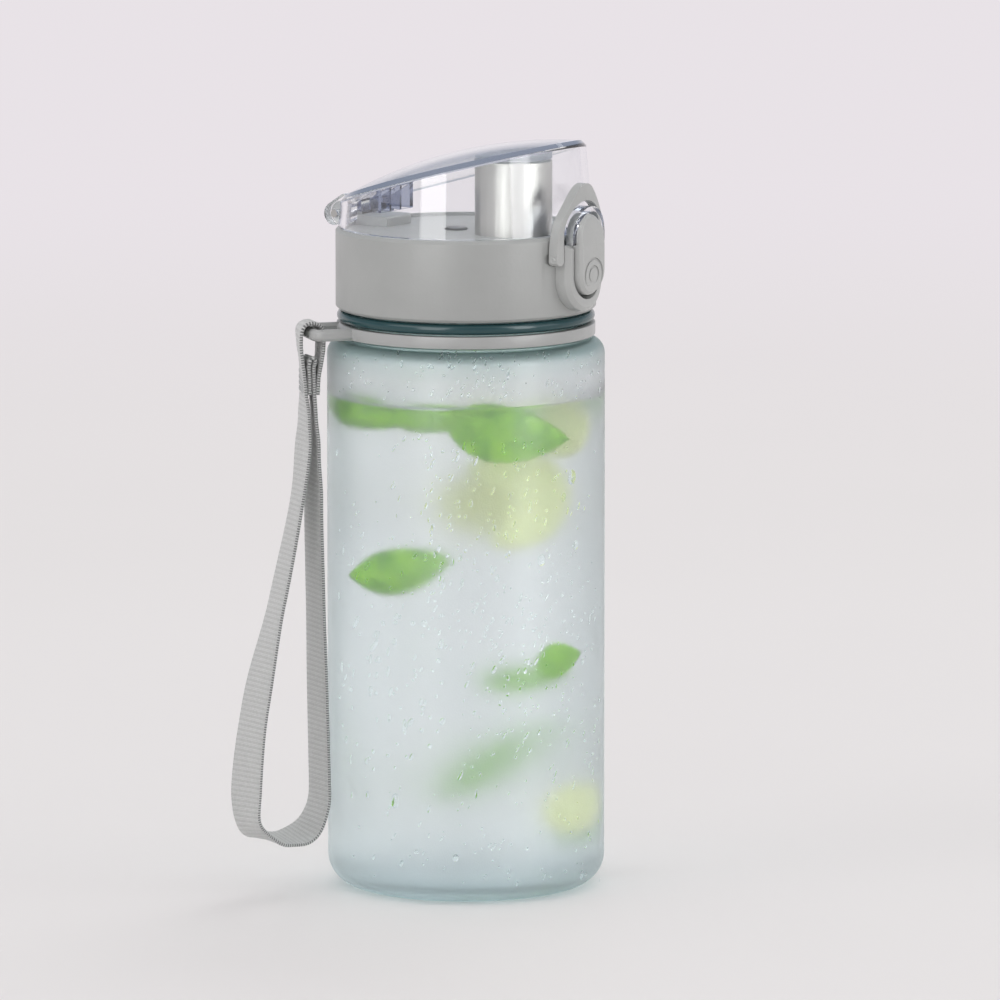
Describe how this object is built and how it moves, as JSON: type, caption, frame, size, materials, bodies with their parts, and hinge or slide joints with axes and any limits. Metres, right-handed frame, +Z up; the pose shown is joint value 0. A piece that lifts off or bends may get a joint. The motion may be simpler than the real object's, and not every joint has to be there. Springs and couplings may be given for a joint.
{
  "type": "fruit infuser water bottle",
  "caption": "Frosted round water bottle with a flip-top clear lid, press latch with fold-over lock, steel spout, infuser strainer and a webbing carry loop.",
  "frame": {"origin": "centre of the foot ring, on the surface that the bottle stands on", "axes": "+Z up along the bottle's centre line; -Y towards the latch; +Y towards the lid hinge"},
  "size_m": [0.0843, 0.0827, 0.1956],
  "materials": {
    "frosted_body": "frosted, translucent",
    "clear_plastic": "clear, polished",
    "cap_plastic": "fine matt",
    "latch_plastic": "satin",
    "ring_plastic": "satin",
    "strainer_plastic": "clear grey, polished",
    "teal_silicone": "smooth, glossy",
    "clear_silicone": "soft, milky",
    "spout_steel": "fine brushed",
    "pin_steel": "bright drawn wire",
    "webbing": "woven, matt"
  },
  "bodies": {
    "bottle": {"bottle_body": "frosted_body"},
    "ring": {"strap_ring": "ring_plastic"},
    "strap": {"strap": "webbing"},
    "oring": {"neck_oring": "teal_silicone"},
    "cap": {"cap_shell": "cap_plastic", "cap_seal": "clear_silicone", "vent_valve": "clear_silicone", "spout": "spout_steel", "hinge_block": "latch_plastic", "hinge_pin": "pin_steel", "hinge_spring": "pin_steel", "latch_housing": "latch_plastic", "latch_hood": "clear_plastic", "button_pin": "pin_steel", "button_spring": "pin_steel", "bail_pins": "pin_steel"},
    "strainer": {"infuser_strainer": "strainer_plastic"},
    "lid": {"lid_shell": "clear_plastic", "spring_cover": "clear_plastic", "spout_plug": "clear_silicone"},
    "bail": {"lock_bail": "latch_plastic"},
    "button": {"release_button": "latch_plastic"}
  },
  "joints": [
    {"name": "ring_turn", "type": "hinge", "parent": "bottle", "child": "ring", "pos_m": [0, 0, 0.14585], "axis": [0, 0, 1], "continuous": true},
    {"name": "strap_swing", "type": "hinge", "parent": "ring", "child": "strap", "pos_m": [-0.03133, 0.02782, 0.14585], "axis": [0.6639, 0.7478, 0], "range_deg": [0, 120]},
    {"name": "cap_turn", "type": "hinge", "parent": "bottle", "child": "oring", "pos_m": [0, 0, 0.1492], "axis": [0, 0, 1], "range_deg": [0, 450]},
    {"name": "cap_lift", "type": "slide", "parent": "oring", "child": "cap", "axis": [0, 0, 1], "range_m": [0, 0.09]},
    {"name": "strainer_pull", "type": "slide", "parent": "cap", "child": "strainer", "axis": [0, 0, -1], "range_m": [0, 0.03]},
    {"name": "lid_open", "type": "hinge", "parent": "cap", "child": "lid", "pos_m": [0, 0.0336, 0.1743], "axis": [-1, 0, 0], "range_deg": [0, 135]},
    {"name": "bail_flip", "type": "hinge", "parent": "cap", "child": "bail", "pos_m": [0, -0.03381, 0.1666], "axis": [1, 0, 0], "range_deg": [0, 140]},
    {"name": "button_press", "type": "hinge", "parent": "cap", "child": "button", "pos_m": [0, -0.0356, 0.1682], "axis": [1, 0, 0], "range_deg": [0, 6], "stiffness_Nm_per_rad": 0.05, "deforming": ["button_spring"]}
  ]
}
